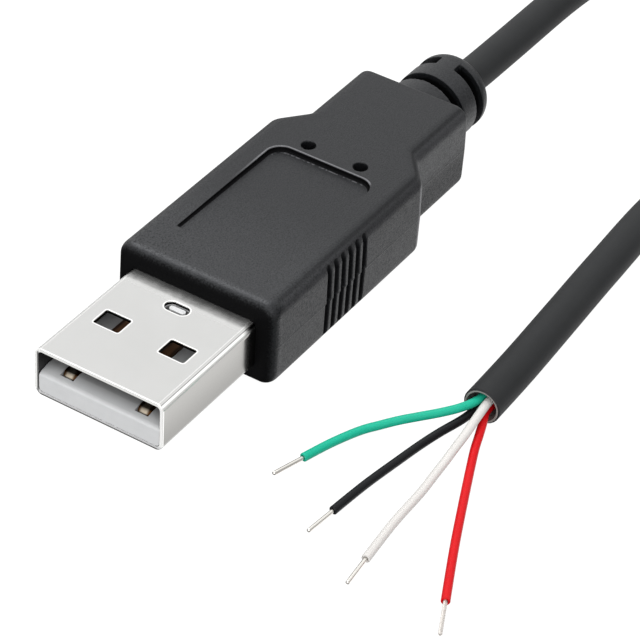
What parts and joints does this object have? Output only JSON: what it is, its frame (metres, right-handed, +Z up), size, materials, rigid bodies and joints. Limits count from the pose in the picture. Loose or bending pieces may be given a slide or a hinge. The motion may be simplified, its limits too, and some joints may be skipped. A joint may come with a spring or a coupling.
{
  "type": "usb pigtail cable",
  "caption": "USB type A plug with a ribbed black moulded grip and slotted strain relief on a thin black cable that ends in bare stripped coloured wires.",
  "frame": {"origin": "centre of the plug on the surface it lies on, cable left out", "axes": "+X along the plug from its open tip towards the cable, +Z up from the face it lies on; the stripped end lies on the -Y side"},
  "size_m": [0.129, 0.0452, 0.008],
  "materials": {
    "grip_pvc": "fine spark-eroded grain",
    "inner_pe": "matt",
    "shell_nickel": "bright nickel plate",
    "tongue_white": "satin",
    "contact_brass": "thin gold flash",
    "solder": "bright solder",
    "tinned_copper": "tinned strands",
    "jacket_pvc": "satin",
    "insulation_red": "satin",
    "insulation_white": "satin",
    "insulation_green": "satin",
    "insulation_black": "satin",
    "tie_black": "satin"
  },
  "bodies": {
    "root": {"overmould": "grip_pvc", "inner_mould": "inner_pe", "plug_shell": "shell_nickel", "tongue": "tongue_white", "contact_power": "contact_brass", "contact_data_minus": "contact_brass", "contact_data_plus": "contact_brass", "contact_ground": "contact_brass", "solder_joints": "solder", "lead_ends": "tinned_copper", "lead_red": "insulation_red", "lead_white": "insulation_white", "lead_green": "insulation_green", "lead_black": "insulation_black", "cable_near": "jacket_pvc", "cable_coil": "jacket_pvc", "coil_tie": "tie_black", "cable_far": "jacket_pvc", "wire_red": "insulation_red", "wire_white": "insulation_white", "wire_green": "insulation_green", "wire_black": "insulation_black", "conductor_red": "tinned_copper", "conductor_white": "tinned_copper", "conductor_green": "tinned_copper", "conductor_black": "tinned_copper"}
  },
  "joints": []
}
